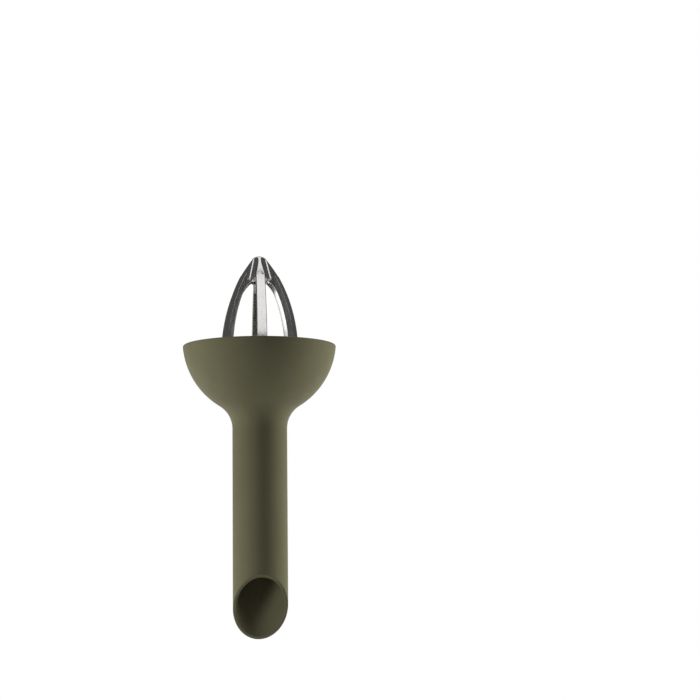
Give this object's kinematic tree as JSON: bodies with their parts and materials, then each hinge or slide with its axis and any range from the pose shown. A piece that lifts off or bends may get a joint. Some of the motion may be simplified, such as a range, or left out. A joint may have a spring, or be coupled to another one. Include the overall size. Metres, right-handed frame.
{
  "type": "hand-held citrus press",
  "caption": "Hand-held citrus press: round bowl on a hollow handle that pours through a slanted spout, with a lift-out reamer of narrow steel blades on a strainer plate.",
  "frame": {"origin": "on the handle's axis, halfway along the full-round part of the grip", "axes": "+Z along the handle towards the bowl and the reamer's nose, -Y the way the spout's slanted mouth faces"},
  "size_m": [0.085, 0.085, 0.2123],
  "materials": {
    "olive_plastic": "fine matt moulded grain",
    "polished_steel": "polished stainless steel",
    "silicone": "soft matt silicone"
  },
  "bodies": {
    "press_body": {"body_shell": "olive_plastic"},
    "reamer_insert": {"reamer_blade_1": "polished_steel", "reamer_blade_2": "polished_steel", "reamer_blade_3": "polished_steel", "reamer_blade_4": "polished_steel", "reamer_blade_5": "polished_steel", "reamer_blade_6": "polished_steel", "crown": "polished_steel", "strainer_plate": "polished_steel", "foot_rivets": "polished_steel", "grip_ring": "silicone"}
  },
  "joints": [
    {"name": "insert_lift", "type": "slide", "parent": "press_body", "child": "reamer_insert", "axis": [0, 0, 1], "range_m": [0, 0.04]}
  ]
}
